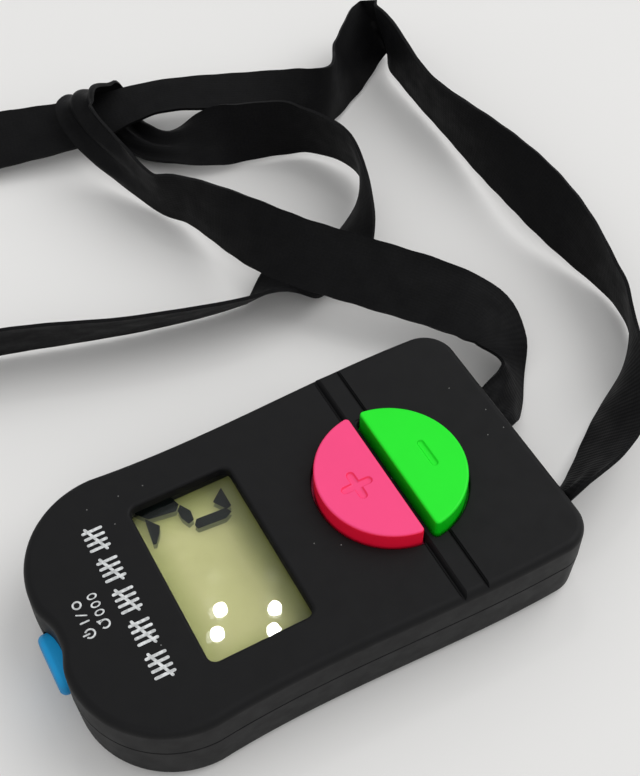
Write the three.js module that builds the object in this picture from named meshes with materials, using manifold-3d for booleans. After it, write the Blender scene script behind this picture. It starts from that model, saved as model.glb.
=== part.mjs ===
// Electronic hand tally counter with a neck lanyard, lying on its back.
// Millimetres, +Z up. The back face lies on z = 0 and the lanyard end points to +Y.
// The origin is the centre of the underside of the counter without its lanyard.
import * as THREE from "three";
import { mergeVertices } from "three/addons/utils/BufferGeometryUtils.js";
import Module from "manifold-3d";

const wasm = await Module();
wasm.setup();

// ---- Driving dimensions -------------------------------------------------------------

// Case: two shells that meet at the parting line.
const CASE_HEIGHT = 13.4;
const PARTING_Z = 8.0;
const PARTING_GAP = 0.1;
const WALL = 1.6;
const BACK_WALL = 1.5;
const TOP_EDGE_RADIUS = 1.2;
const BACK_EDGE_RADIUS = 1.8;
const BACK_DRAFT = 0.3;
const BUTTON_END_Y = -34.5;
const LANYARD_END_Y = 35.5;
const BUTTON_END_HALF_WIDTH = 20.3;
const LANYARD_END_HALF_WIDTH = 20.6;
const BUTTON_END_CORNER = 13.9;
const LANYARD_END_CORNER = 4.8;
const WAIST_PULL = { lowX: 18.75, lowY: -3.5, highX: 21.3, highY: 13.6 };
const SCALLOP_DEPTH = 1.2;
const OUTLINE_STEPS = 5;
const FIT = 0.3; // running clearance round moving pieces
const LIP = { height: 0.9, inset: 0.95, seatInset: 0.75 }; // tongue inside the back shell

// Display window and liquid crystal display.
const WINDOW = { halfWidth: 12.9, low: -17.95, high: -3.2, corner: 1.2 };
const LENS = { halfWidth: 14.6, low: -19.6, high: -1.6, bottom: 10.75, top: 11.7 };
const FRONT_GLASS = { halfWidth: 14.2, low: -19.2, high: -2.0, bottom: 9.55, top: 10.65 };
const REAR_GLASS = { halfWidth: 14.2, low: -17.4, high: -2.0, bottom: 8.4, top: 9.45 };
const REFLECTOR = { halfWidth: 14.2, low: -17.4, high: -2.0, bottom: 8.1, top: 8.3 };
const HOLDER = {
  halfWidth: 15.4, low: -20.4, high: -0.9, bottom: 6.5, top: 10.6,
  floor: 8.0, play: 0.15, wall: 1.3, web: 0.8,
};
const ZEBRA = { halfWidth: 13.0, low: -19.0, high: -17.8, bottom: 6.5, top: 9.45 };

// Counting buttons: two half discs either side of a bar.
const COUNT_BUTTON = { y: 15.41, radius: 10.53, top: 16.0, flange: 11.7, flangeBottom: 10.6 };
const FLANGE_TOP = 11.5;
const FLAT_OFFSET = 0.85; // from the middle of the disc to each straight edge
const FLANGE_FLAT_OFFSET = 0.4;
const GLYPH_DEPTH = 0.35;
const GLYPH_ARM = 2.2;
const GLYPH_WIDTH = 0.75;
const PLUS_GLYPH_Y = 10.1;
const MINUS_GLYPH_Y = 21.2;
const BUTTON_BEVEL = 0.5;

// Raised rib that crosses the front between the two counting buttons.
const RIB = { halfWidth: 19.0, low: 15.1, high: 18.0, height: 0.2, groove: 0.4, grooveDepth: 0.3 };

// On/off and reset button in the end wall.
const RESET = { z: 6.4, halfLength: 4.5, halfHeight: 2.3, face: -35.5, bevel: 0.4, flange: 0.9 };
const RESET_FLANGE_Y = { low: -31.4, high: -30.6 };
const RESET_NUB = { halfWidth: 1.4, low: 7.5, high: 9.0, end: -30.0 };

// Circuit board.
const BOARD = { halfWidth: 16.4, low: -21.0, high: 23.6, bottom: 5.4, top: 6.4 };
const BOARD_TONGUE = { halfWidth: 5.0, low: -28.2 };
const CHIP = { y: 12.0, radius: 4.2, shoulder: 3.9, crown: 2.6, height: 1.1 };
const CRYSTAL = { x: [-11.5, -9.0], y: [12.0, 18.0], bottom: 3.6 };
const CAPACITOR = { x: [8.5, 11.7], y: [13.0, 15.6], bottom: 4.2 };
const RESISTOR = { x: [8.6, 10.6], lows: [8.0, 18.0], width: 1.3, bottom: 4.8 };

// Tactile switches: the body is a square block with a well for its plunger.
const SEAT_GAP = 0.05; // between a part and the face of the board it sits on
const TACT = { half: 3.0, height: 3.15, well: 1.9, plunger: 1.6, sink: 1.7, travelRoom: 0.9 };
const PLUS_SWITCH_Y = 10.1;
const MINUS_SWITCH_Y = 20.2;
const PLUNGER_TOP = 10.5;
const RESET_SWITCH = { halfWidth: 3.1, low: -28.2, high: -24.8, height: 3.6 };
const RESET_WELL = { radius: 1.25, depth: 1.7 };
const RESET_PLUNGER = { radius: 0.95, tip: -29.9, sink: 0.8 };

// Battery: one button cell behind a quarter-turn cap.
const BATTERY = { x: 0, y: -6, radius: 5.8, bottom: 1.85, top: 4.9 };
const CAP = { radius: 8.0, bottom: 0.1, top: 1.6, ringOuter: 7.5, ringInner: 6.1, ringTop: 3.4 };
const LUG = { radius: 9.2, bottom: 1.8, top: 2.6, halfAngle: 20 };
const NOTCH = { radius: 9.5, halfAngle: 24, turn: 60 };
const WELL = { inner: 9.6, outer: 10.6, top: 4.6 };
const COIN_SLOT = { length: 11.0, width: 1.7, depth: 0.7 };
const CELL_RIM = { width: 0.9, step: 0.35 };
const NEGATIVE_LEAF = { halfWidth: 1.6, halfLength: 4.5, foot: 0.9, bottom: 5.0, top: 5.2 };
const POSITIVE_CLIP = { clearance: 0.15, thickness: 0.3, halfWidth: 1.5, bottom: 3.6, foot: 3.0 };

// Screws.
const CASE_SCREW = { head: 1.8, headBottom: 0.7, headTop: 2.1, shank: 1.0, tip: 10.2 };
const CASE_SCREW_SPOTS = [
  [-14.6, -24.2],
  [14.6, -24.2],
  [-15.2, 26.4],
  [15.2, 26.4],
];
const CASE_POST = { radius: 2.4, boss: 2.2, bore: 1.3, headBore: 2.1, headSeat: 2.3 };
const BOARD_SCREW = { head: 1.4, headBottom: 4.4, headTop: 5.2, shank: 0.7, tip: 9.6 };
const BOARD_SCREW_SPOTS = [
  [-14.3, 1.6],
  [14.3, 1.6],
  [-14.3, 21.6],
  [14.3, 21.6],
];
const RECESS = { width: 0.32, reach: 0.62, depth: 0.5 }; // cross recess, as parts of the head
const BOARD_POST = { radius: 1.7, bore: 1.0, bottom: 6.5 };

// Lanyard: a flat ribbon, both ends stitched round a pin behind the end wall.
const PIN = { y: 31.7, z: 6.5, radius: 0.9, halfLength: 16.2, play: 0.1 };
const PIN_RIB = { halfWidth: 1.2, halfDepth: 1.6, rise: 0.6 };
const STRAP_LOOP = { inner: 1.2, outer: 1.9, tongue: 1.2 };
const STRAP_ENDS = { left: [-10.8, -3.6], right: [8.1, 12.3] };
const SLOT = { bottom: 5.6, margin: 0.4, depth: 2.4 };
const RIBBON = { thickness: 0.8, steps: 92 };

// Centreline of the ribbon from one exit to the other: x, y, z, then the direction of its
// width as a compass angle (degrees from +X) and a tilt out of the horizontal, then how wide
// it is there, because it is gathered at both exits and where it is hitched.
const RIBBON_ROUTE = [
  [-7.2, 36.4, 6.6, 0, 0, 7.2],
  [-7.5, 38.4, 6.4, 0, -6, 7.2],
  [-12.1, 44.7, 4.2, 10, -54, 7.8],
  [-19.4, 46.9, 5.7, 47, -21, 10.0],
  [-24.1, 46.0, 7.0, 90, 5, 10.8],
  [-28.9, 42.3, 8.1, 111, 22, 10.8],
  [-36.7, 34.1, 10.0, 119, 34, 10.8],
  [-48.1, 24.9, 10.2, 131, 41, 10.8],
  [-68.6, 16.2, 7.2, 134, 92, 10.8],
  [-74.0, 13.0, 6.0, 138, 100, 10.8],
  [-92.5, 8.0, 9.8, 106, 66, 8.8],
  [-96.5, 8.5, 11.4, 78, 26, 8.0],
  [-102.5, 14.0, 7.0, 80, 0, 8.0],
  [-101.0, 16.5, 2.0, 90, -2, 7.6],
  [-97.0, 16.5, 1.4, 96, 0, 7.2],
  [-93.5, 17.0, 2.0, 106, 0, 7.6],
  [-88.5, 19.8, 2.6, 112, 4, 8.0],
  [-81.5, 30.5, 5.9, 98, 50, 10.6],
  [-75.5, 41.9, 6.9, 51, 114, 10.8],
  [-63.5, 46.4, 7.5, 79, 102, 10.8],
  [-48.6, 35.2, 3.4, 32, 23, 10.8],
  [-49.5, 31.2, 3.4, 48, -8, 10.8],
  [-48.8, 28.6, 2.2, 2, -6, 10.8],
  [-45.6, 18.2, 4.6, -48, 42, 10.8],
  [-48.6, -0.5, 5.6, -39, 58, 10.8],
  [-56.0, -24.7, 6.0, -19, 69, 10.8],
  [-59.5, -44.0, 3.6, -5, 26, 10.8],
  [-62.0, -78.0, 0.9, -6, 2, 10.8],
  [-66.0, -106.0, 0.9, -16, 2, 10.8],
  [-76.0, -122.0, 0.9, -60, 2, 10.8],
  [-90.0, -123.0, 0.9, -110, 2, 10.8],
  [-99.5, -108.0, 0.9, -162, 2, 10.8],
  [-102.0, -76.0, 0.9, -178, 2, 10.8],
  [-103.2, -42.9, 1.6, -178, 4, 10.8],
  [-102.0, -12.0, 4.6, -184, 24, 10.8],
  [-97.5, 8.0, 5.6, -188, 16, 9.6],
  [-96.0, 23.5, 6.6, -196, 4, 8.0],
  [-88.3, 37.8, 7.5, -220, 9, 9.4],
  [-80.5, 48.9, 7.5, -229, 60, 10.8],
  [-88.1, 58.2, 5.4, -173, 56, 10.8],
  [-95.4, 68.6, 6.2, -169, 44, 10.8],
  [-86.4, 67.3, 7.1, -244, 90, 10.8],
  [-72.7, 66.6, 6.7, -257, 96, 10.8],
  [-41.3, 68.7, 7.6, -264, 63, 10.8],
  [-18.7, 68.9, 6.1, -276, 101, 10.8],
  [-12.4, 66.8, 6.0, -302, 102, 10.8],
  [4.0, 51.5, 5.8, -330, 46, 10.8],
  [10.5, 39.0, 7.6, -352, 56, 7.6],
  [10.2, 36.4, 6.6, -360, 0, 4.2],
];

// ---- Solids -------------------------------------------------------------------------

function toSolid(geometry) {
  const bare = new THREE.BufferGeometry();
  bare.setAttribute("position", geometry.getAttribute("position"));
  bare.setIndex(geometry.getIndex());
  const merged = mergeVertices(bare, 1e-4);
  return new wasm.Manifold(
    new wasm.Mesh({
      numProp: 3,
      vertProperties: merged.attributes.position.array,
      triVerts: new Uint32Array(merged.index.array),
    }),
  );
}

function toGeometry(solid) {
  const mesh = solid.getMesh();
  const geometry = new THREE.BufferGeometry();
  geometry.setAttribute("position", new THREE.BufferAttribute(mesh.vertProperties, 3));
  geometry.setIndex(new THREE.BufferAttribute(mesh.triVerts, 1));
  geometry.computeVertexNormals();
  return geometry;
}

const join = (first, ...others) => others.reduce((whole, piece) => whole.add(piece), first);
const cut = (first, ...others) => others.reduce((whole, piece) => whole.subtract(piece), first);

function block(x0, x1, y0, y1, z0, z1) {
  const box = new THREE.BoxGeometry(x1 - x0, y1 - y0, z1 - z0);
  box.translate((x0 + x1) / 2, (y0 + y1) / 2, (z0 + z1) / 2);
  return toSolid(box);
}

// A block from a record of its half width in X, its two ends in Y and its two heights.
const slab = (size) =>
  block(-size.halfWidth, size.halfWidth, size.low, size.high, size.bottom, size.top);

function disc(radius, z0, z1, x = 0, y = 0, segments = 18) {
  const cylinder = new THREE.CylinderGeometry(radius, radius, z1 - z0, segments);
  cylinder.rotateX(Math.PI / 2);
  cylinder.translate(x, y, (z0 + z1) / 2);
  return toSolid(cylinder);
}

function extrude(shape, z0, z1, curveSegments = 16) {
  const geometry = new THREE.ExtrudeGeometry(shape, {
    depth: z1 - z0,
    bevelEnabled: false,
    curveSegments,
  });
  geometry.translate(0, 0, z0);
  return toSolid(geometry);
}

// The shape's x and y become X and Z, and it is drawn out along Y.
function extrudeAlongY(shape, y0, y1, curveSegments = 8) {
  const geometry = new THREE.ExtrudeGeometry(shape, {
    depth: y1 - y0,
    bevelEnabled: false,
    curveSegments,
  });
  geometry.rotateX(Math.PI / 2);
  geometry.translate(0, y1, 0);
  return toSolid(geometry);
}

// The shape's x and y become Y and Z, and it is drawn out along X.
function extrudeAlongX(shape, x0, x1, curveSegments = 8) {
  const geometry = new THREE.ExtrudeGeometry(shape, {
    depth: x1 - x0,
    bevelEnabled: false,
    curveSegments,
  });
  const turn = new THREE.Matrix4().makeBasis(
    new THREE.Vector3(0, 1, 0),
    new THREE.Vector3(0, 0, 1),
    new THREE.Vector3(1, 0, 0),
  );
  geometry.applyMatrix4(turn);
  geometry.translate(x0, 0, 0);
  return toSolid(geometry);
}

// Joins rings that have equal numbers of points, and closes both ends with the same faces.
function loft(rings, endFaces) {
  const count = rings[0].length;
  const last = (rings.length - 1) * count;
  const index = [];
  for (let level = 0; level + 1 < rings.length; level++) {
    for (let i = 0; i < count; i++) {
      const a = level * count + i;
      const b = level * count + ((i + 1) % count);
      index.push(a, b, b + count, a, b + count, a + count);
    }
  }
  for (const [a, b, c] of endFaces) {
    index.push(a, c, b, last + a, last + b, last + c);
  }
  const geometry = new THREE.BufferGeometry();
  const positions = rings.flat().flatMap((point) => [point.x, point.y, point.z]);
  geometry.setAttribute("position", new THREE.Float32BufferAttribute(positions, 3));
  geometry.setIndex(index);
  return toSolid(geometry);
}

// ---- Case outline -------------------------------------------------------------------

// Outline of the case, seen from above, moved inwards by a distance. The scallop for the
// reset button is in its low end.
function caseOutline(inset) {
  const lowY = BUTTON_END_Y + inset;
  const highY = LANYARD_END_Y - inset;
  const lowCorner = new THREE.Vector2(
    BUTTON_END_HALF_WIDTH - BUTTON_END_CORNER,
    BUTTON_END_Y + BUTTON_END_CORNER,
  );
  const highCorner = new THREE.Vector2(
    LANYARD_END_HALF_WIDTH - LANYARD_END_CORNER,
    LANYARD_END_Y - LANYARD_END_CORNER,
  );
  const lowX = WAIST_PULL.lowX - inset;
  const highX = WAIST_PULL.highX - inset;
  const quarter = Math.PI / 2;
  const shape = new THREE.Shape();
  shape.moveTo(0, lowY + SCALLOP_DEPTH);
  shape.bezierCurveTo(
    lowCorner.x / 2, lowY + SCALLOP_DEPTH, lowCorner.x / 2, lowY, lowCorner.x, lowY,
  );
  shape.absarc(lowCorner.x, lowCorner.y, BUTTON_END_CORNER - inset, -quarter, 0);
  shape.bezierCurveTo(
    lowX, WAIST_PULL.lowY, highX, WAIST_PULL.highY, LANYARD_END_HALF_WIDTH - inset, highCorner.y,
  );
  shape.absarc(highCorner.x, highCorner.y, LANYARD_END_CORNER - inset, 0, quarter);
  shape.lineTo(-highCorner.x, highY);
  shape.absarc(-highCorner.x, highCorner.y, LANYARD_END_CORNER - inset, quarter, 2 * quarter);
  shape.bezierCurveTo(
    -highX, WAIST_PULL.highY, -lowX, WAIST_PULL.lowY, inset - BUTTON_END_HALF_WIDTH, lowCorner.y,
  );
  shape.absarc(-lowCorner.x, lowCorner.y, BUTTON_END_CORNER - inset, 2 * quarter, 3 * quarter);
  shape.bezierCurveTo(
    -lowCorner.x / 2, lowY, -lowCorner.x / 2, lowY + SCALLOP_DEPTH, 0, lowY + SCALLOP_DEPTH,
  );
  const points = shape.getPoints(OUTLINE_STEPS);
  return points.filter((point, i) => point.distanceTo(points[(i + 1) % points.length]) > 1e-6);
}

// A solid whose section follows the case outline: levels are [inset, z], from the lowest.
function caseSolid(levels) {
  const rings = levels.map(([inset, z]) =>
    caseOutline(inset).map((point) => new THREE.Vector3(point.x, point.y, z)),
  );
  const faces = THREE.ShapeUtils.triangulateShape(caseOutline(levels[0][0]), []);
  return loft(rings, faces);
}

// Levels of a rounded edge, from the wall to the flat face, as [inset, rise] pairs.
function roundedEdge(radius, steps) {
  return Array.from({ length: steps + 1 }, (_, i) => {
    const angle = (i / steps) * (Math.PI / 2);
    return [radius * (1 - Math.cos(angle)), radius * Math.sin(angle)];
  });
}

// ---- Shapes that several pieces share -----------------------------------------------

// Half disc of a counting button: side +1 lies towards +Y and side -1 towards -Y.
function halfDisc(radius, flatOffset, side) {
  const start = Math.asin(flatOffset / radius) + (side > 0 ? 0 : Math.PI);
  const shape = new THREE.Shape();
  shape.absarc(0, COUNT_BUTTON.y, radius, start, start + Math.PI - 2 * (start % Math.PI));
  shape.closePath();
  return shape;
}

function stadium(halfLength, halfHeight, z) {
  const straight = halfLength - halfHeight;
  const shape = new THREE.Shape();
  shape.moveTo(-straight, z - halfHeight);
  shape.absarc(straight, z, halfHeight, -Math.PI / 2, Math.PI / 2);
  shape.absarc(-straight, z, halfHeight, Math.PI / 2, (3 * Math.PI) / 2);
  return shape;
}

function roundedRectangle(halfWidth, low, high, corner) {
  const quarter = Math.PI / 2;
  const shape = new THREE.Shape();
  shape.moveTo(corner - halfWidth, low);
  shape.absarc(halfWidth - corner, low + corner, corner, -quarter, 0);
  shape.absarc(halfWidth - corner, high - corner, corner, 0, quarter);
  shape.absarc(corner - halfWidth, high - corner, corner, quarter, 2 * quarter);
  shape.absarc(corner - halfWidth, low + corner, corner, 2 * quarter, 3 * quarter);
  return shape;
}

// A sector round the battery axis, centred on a compass angle.
function batterySector(radius, middle, halfAngle, z0, z1) {
  const start = THREE.MathUtils.degToRad(middle - halfAngle);
  const end = THREE.MathUtils.degToRad(middle + halfAngle);
  const shape = new THREE.Shape();
  shape.absarc(0, 0, radius, start, end);
  shape.lineTo(0, 0);
  shape.closePath();
  return extrude(shape, z0, z1, 8).translate([BATTERY.x, BATTERY.y, 0]);
}

// A circle round the lanyard's pin, in the YZ plane.
const circleYZ = (radius) => new THREE.Shape().absarc(PIN.y, PIN.z, radius, 0, 2 * Math.PI);

const batteryDisc = (radius, z0, z1) => disc(radius, z0, z1, BATTERY.x, BATTERY.y, 30);

const resetHole = () =>
  extrudeAlongY(
    stadium(RESET.halfLength + FIT, RESET.halfHeight + FIT, RESET.z),
    BUTTON_END_Y - 1,
    RESET_FLANGE_Y.low,
  );

const strapSlot = ([x0, x1]) =>
  block(x0 - SLOT.margin, x1 + SLOT.margin, LANYARD_END_Y - SLOT.depth, LANYARD_END_Y + 1,
    SLOT.bottom, PARTING_Z);

// ---- Front shell --------------------------------------------------------------------

function frontShell() {
  const inside = CASE_HEIGHT - WALL;
  const edge = roundedEdge(TOP_EDGE_RADIUS, 2).map(([inset, rise]) => [
    inset,
    CASE_HEIGHT - TOP_EDGE_RADIUS + rise,
  ]);
  const outside = caseSolid([[0, PARTING_Z], ...edge]);
  const hollow = caseSolid([[WALL, PARTING_Z - 1], [WALL, inside]]);
  const lip = cut(
    caseSolid([[LIP.inset, PARTING_Z - LIP.height], [LIP.inset, PARTING_Z + 0.5]]),
    caseSolid([[WALL, PARTING_Z - LIP.height - 1], [WALL, PARTING_Z + 1]]),
  );
  const rib = block(-RIB.halfWidth, RIB.halfWidth, RIB.low, RIB.high, CASE_HEIGHT - 0.5,
    CASE_HEIGHT + RIB.height);
  const grooves = [RIB.low - RIB.groove, RIB.high].map((y) =>
    block(-CASE_HEIGHT * 2, CASE_HEIGHT * 2, y, y + RIB.groove, CASE_HEIGHT - RIB.grooveDepth, CASE_HEIGHT + 1),
  );
  const casePosts = CASE_SCREW_SPOTS.map(([x, y]) =>
    disc(CASE_POST.boss, PARTING_Z, inside + 0.5, x, y),
  );
  const boardPosts = BOARD_SCREW_SPOTS.map(([x, y]) =>
    disc(BOARD_POST.radius, BOARD_POST.bottom, inside + 0.5, x, y, 14),
  );
  const caseBores = CASE_SCREW_SPOTS.map(([x, y]) =>
    disc(CASE_POST.bore, PARTING_Z - 1, CASE_SCREW.tip + FIT, x, y),
  );
  const boardBores = BOARD_SCREW_SPOTS.map(([x, y]) =>
    disc(BOARD_POST.bore, BOARD_POST.bottom - 1, BOARD_SCREW.tip + FIT, x, y, 14),
  );
  const window = extrude(
    roundedRectangle(WINDOW.halfWidth, WINDOW.low, WINDOW.high, WINDOW.corner),
    inside - 1,
    CASE_HEIGHT + 1,
    4,
  );
  const buttonHoles = [-1, 1].map((side) =>
    extrude(
      halfDisc(COUNT_BUTTON.radius + FIT, FLAT_OFFSET - FIT, side),
      inside - 1,
      CASE_HEIGHT + 1,
      13,
    ),
  );
  const ends = Object.values(STRAP_ENDS).map(strapSlot);
  const body = join(cut(outside, hollow), lip, rib, ...casePosts, ...boardPosts);
  return cut(
    body, ...grooves, ...caseBores, ...boardBores, window, ...buttonHoles, resetHole(), ...ends,
  );
}

// ---- Back shell ---------------------------------------------------------------------

function backShell() {
  const top = PARTING_Z - PARTING_GAP;
  const edge = roundedEdge(BACK_EDGE_RADIUS, 2)
    .map(([inset, rise]) => [inset + BACK_DRAFT, BACK_EDGE_RADIUS - rise])
    .reverse();
  const outside = caseSolid([...edge, [0, top]]);
  const hollow = caseSolid([[WALL + BACK_DRAFT, BACK_WALL], [WALL, top + 1]]);
  const lipSeat = caseSolid([
    [LIP.seatInset, PARTING_Z - LIP.height - FIT],
    [LIP.seatInset, PARTING_Z + 1],
  ]);
  const posts = CASE_SCREW_SPOTS.map(([x, y]) =>
    disc(CASE_POST.radius, BACK_WALL - 0.5, top, x, y),
  );
  const bores = CASE_SCREW_SPOTS.flatMap(([x, y]) => [
    disc(CASE_POST.bore, -1, PARTING_Z, x, y),
    disc(CASE_POST.headBore, -1, CASE_POST.headSeat, x, y),
  ]);
  const well = cut(
    batteryDisc(WELL.outer, BACK_WALL - 0.5, WELL.top),
    batteryDisc(WELL.inner, BACK_WALL, WELL.top + 1),
  );
  const pinRibs = [-PIN.halfLength, PIN.halfLength].map((x) =>
    block(x - PIN_RIB.halfWidth, x + PIN_RIB.halfWidth, PIN.y - PIN_RIB.halfDepth,
      PIN.y + PIN_RIB.halfDepth, BACK_WALL - 0.5, PIN.z + PIN_RIB.rise),
  );
  const pinReach = PIN.halfLength + PIN.play;
  const pinSeat = extrudeAlongX(circleYZ(PIN.radius + PIN.play), -pinReach, pinReach);
  const pinEntry = block(-pinReach, pinReach, PIN.y - PIN.radius, PIN.y + PIN.radius,
    PIN.z, PIN.z + 2);
  const capHole = batteryDisc(CAP.radius + 0.25, -1, BACK_WALL + 0.1);
  const notches = [0, 180].map((turn) =>
    batterySector(NOTCH.radius, NOTCH.turn + turn, NOTCH.halfAngle, -1, BACK_WALL + 0.1),
  );
  const ends = Object.values(STRAP_ENDS).map(strapSlot);
  const body = join(cut(outside, hollow, lipSeat), ...posts, well, ...pinRibs);
  return cut(body, ...bores, capHole, ...notches, pinSeat, pinEntry, resetHole(), ...ends);
}

// ---- Counting buttons ---------------------------------------------------------------

function countingButton(side) {
  const shapeAt = (inset) =>
    halfDisc(COUNT_BUTTON.radius - inset, FLAT_OFFSET + inset, side).getPoints(13);
  const levels = [
    [0, FLANGE_TOP - 0.2],
    [0, COUNT_BUTTON.top - BUTTON_BEVEL],
    [BUTTON_BEVEL * 0.3, COUNT_BUTTON.top - BUTTON_BEVEL * 0.3],
    [BUTTON_BEVEL, COUNT_BUTTON.top],
  ];
  const rings = levels.map(([inset, z]) =>
    shapeAt(inset).slice(0, -1).map((point) => new THREE.Vector3(point.x, point.y, z)),
  );
  const faces = THREE.ShapeUtils.triangulateShape(shapeAt(0).slice(0, -1), []);
  const cap = loft(rings, faces);
  const flange = extrude(
    halfDisc(COUNT_BUTTON.flange, FLANGE_FLAT_OFFSET, side),
    COUNT_BUTTON.flangeBottom,
    FLANGE_TOP,
    13,
  );
  const low = COUNT_BUTTON.top - GLYPH_DEPTH;
  const high = COUNT_BUTTON.top + 1;
  const y = side > 0 ? MINUS_GLYPH_Y : PLUS_GLYPH_Y;
  const bar = block(-GLYPH_ARM, GLYPH_ARM, y - GLYPH_WIDTH / 2, y + GLYPH_WIDTH / 2, low, high);
  const upright = block(-GLYPH_WIDTH / 2, GLYPH_WIDTH / 2, y - GLYPH_ARM, y + GLYPH_ARM, low, high);
  return side > 0 ? cut(join(cap, flange), bar) : cut(join(cap, flange), bar, upright);
}

// ---- Reset button -------------------------------------------------------------------

function resetButton() {
  const stem = extrudeAlongY(
    stadium(RESET.halfLength, RESET.halfHeight, RESET.z),
    RESET.face + RESET.bevel,
    RESET_FLANGE_Y.low + 0.2,
  );
  const face = extrudeAlongY(
    stadium(RESET.halfLength - RESET.bevel, RESET.halfHeight - RESET.bevel, RESET.z),
    RESET.face,
    RESET.face + 1,
  );
  const flange = extrudeAlongY(
    stadium(RESET.halfLength + RESET.flange, RESET.halfHeight + RESET.flange, RESET.z),
    RESET_FLANGE_Y.low,
    RESET_FLANGE_Y.high,
  );
  const nub = block(-RESET_NUB.halfWidth, RESET_NUB.halfWidth, RESET_FLANGE_Y.low, RESET_NUB.end,
    RESET_NUB.low, RESET_NUB.high);
  return join(stem, face, flange, nub);
}

// ---- Display ------------------------------------------------------------------------

function displayHolder() {
  const { play, wall, web } = HOLDER;
  const outside = slab(HOLDER);
  const pocket = block(-FRONT_GLASS.halfWidth - play, FRONT_GLASS.halfWidth + play,
    FRONT_GLASS.low - play, FRONT_GLASS.high + play, HOLDER.floor, HOLDER.top + 1);
  const slot = block(-ZEBRA.halfWidth - play, ZEBRA.halfWidth + play,
    ZEBRA.low - play, ZEBRA.high + play, HOLDER.bottom - 1, HOLDER.top);
  const relief = block(-ZEBRA.halfWidth, ZEBRA.halfWidth, ZEBRA.high + wall, HOLDER.high - wall,
    HOLDER.bottom - 1, HOLDER.floor - web);
  return cut(outside, pocket, slot, relief);
}

// ---- Circuit board and what is on it ------------------------------------------------

function circuitBoard() {
  const tongue = block(-BOARD_TONGUE.halfWidth, BOARD_TONGUE.halfWidth, BOARD_TONGUE.low,
    BOARD.low + 1, BOARD.bottom, BOARD.top);
  const holes = BOARD_SCREW_SPOTS.map(([x, y]) =>
    disc(BOARD_POST.bore, BOARD.bottom - 1, BOARD.top + 1, x, y, 14),
  );
  return cut(join(slab(BOARD), tongue), ...holes);
}

function tactBody(y) {
  const z0 = BOARD.top + SEAT_GAP;
  const z1 = z0 + TACT.height;
  return cut(
    block(-TACT.half, TACT.half, y - TACT.half, y + TACT.half, z0, z1),
    disc(TACT.well, z1 - TACT.sink, z1 + 1, 0, y, 16),
  );
}

function tactPlunger(y) {
  const wellFloor = BOARD.top + SEAT_GAP + TACT.height - TACT.sink;
  return disc(TACT.plunger, wellFloor + TACT.travelRoom, PLUNGER_TOP, 0, y, 16);
}

// A circle on the reset switch's axis, in the XZ plane.
function circleXZ(radius) {
  const z = (RESET_NUB.low + RESET_NUB.high) / 2;
  return new THREE.Shape().absarc(0, z, radius, 0, 2 * Math.PI);
}

function resetSwitch() {
  const z0 = BOARD.top + SEAT_GAP;
  const body = block(-RESET_SWITCH.halfWidth, RESET_SWITCH.halfWidth, RESET_SWITCH.low,
    RESET_SWITCH.high, z0, z0 + RESET_SWITCH.height);
  const well = extrudeAlongY(
    circleXZ(RESET_WELL.radius), RESET_SWITCH.low - 1, RESET_SWITCH.low + RESET_WELL.depth,
  );
  return cut(body, well);
}

const resetSwitchPlunger = () =>
  extrudeAlongY(
    circleXZ(RESET_PLUNGER.radius), RESET_PLUNGER.tip, RESET_SWITCH.low + RESET_PLUNGER.sink,
  );

// Block that hangs under the board.
const underBoard = (x, y, bottom) => block(...x, ...y, bottom, BOARD.bottom - SEAT_GAP);

function chipBlob() {
  const profile = [
    new THREE.Vector2(0, 0),
    new THREE.Vector2(CHIP.radius, 0),
    new THREE.Vector2(CHIP.shoulder, CHIP.height * 0.45),
    new THREE.Vector2(CHIP.crown, CHIP.height * 0.85),
    new THREE.Vector2(0, CHIP.height),
  ];
  const dome = new THREE.LatheGeometry(profile, 18);
  dome.rotateX(-Math.PI / 2);
  dome.translate(0, CHIP.y, BOARD.bottom - SEAT_GAP);
  return toSolid(dome);
}

// ---- Battery ------------------------------------------------------------------------

function batteryCap() {
  const plate = batteryDisc(CAP.radius, CAP.bottom, CAP.top);
  const ring = cut(
    batteryDisc(CAP.ringOuter, CAP.top - 0.5, CAP.ringTop),
    batteryDisc(CAP.ringInner, CAP.top, CAP.ringTop + 1),
  );
  const lugs = [0, 180].map((turn) =>
    cut(
      batterySector(LUG.radius, turn, LUG.halfAngle, LUG.bottom, LUG.top),
      batteryDisc(CAP.ringInner + 0.7, LUG.bottom - 1, LUG.top + 1),
    ),
  );
  const slot = block(BATTERY.x - COIN_SLOT.length / 2, BATTERY.x + COIN_SLOT.length / 2,
    BATTERY.y - COIN_SLOT.width / 2, BATTERY.y + COIN_SLOT.width / 2, -1,
    CAP.bottom + COIN_SLOT.depth);
  return cut(join(plate, ring, ...lugs), slot);
}

function buttonCell() {
  const can = batteryDisc(BATTERY.radius, BATTERY.bottom, BATTERY.top - CELL_RIM.step);
  const lid = batteryDisc(BATTERY.radius - CELL_RIM.width, BATTERY.bottom, BATTERY.top);
  return join(can, lid);
}

// Leaf that hangs under the board and presses on the top of the cell.
function negativeContact() {
  const { halfWidth, halfLength, bottom, top } = NEGATIVE_LEAF;
  const high = BATTERY.y + halfLength;
  const leaf = block(-halfWidth, halfWidth, BATTERY.y - halfLength, high, bottom, top);
  const foot = underBoard([-halfWidth, halfWidth], [high - NEGATIVE_LEAF.foot, high], bottom);
  return join(leaf, foot);
}

// Clip that reaches down from the board past the ring to the side of the cell.
function positiveContact() {
  const { clearance, thickness, halfWidth, bottom } = POSITIVE_CLIP;
  const x = BATTERY.x + BATTERY.radius + clearance;
  const y = [BATTERY.y - halfWidth, BATTERY.y + halfWidth];
  const clip = underBoard([x, x + thickness], y, bottom);
  const foot = underBoard([x, x + POSITIVE_CLIP.foot], y, BOARD.bottom - thickness);
  return join(clip, foot);
}

// ---- Fasteners ----------------------------------------------------------------------

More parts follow.
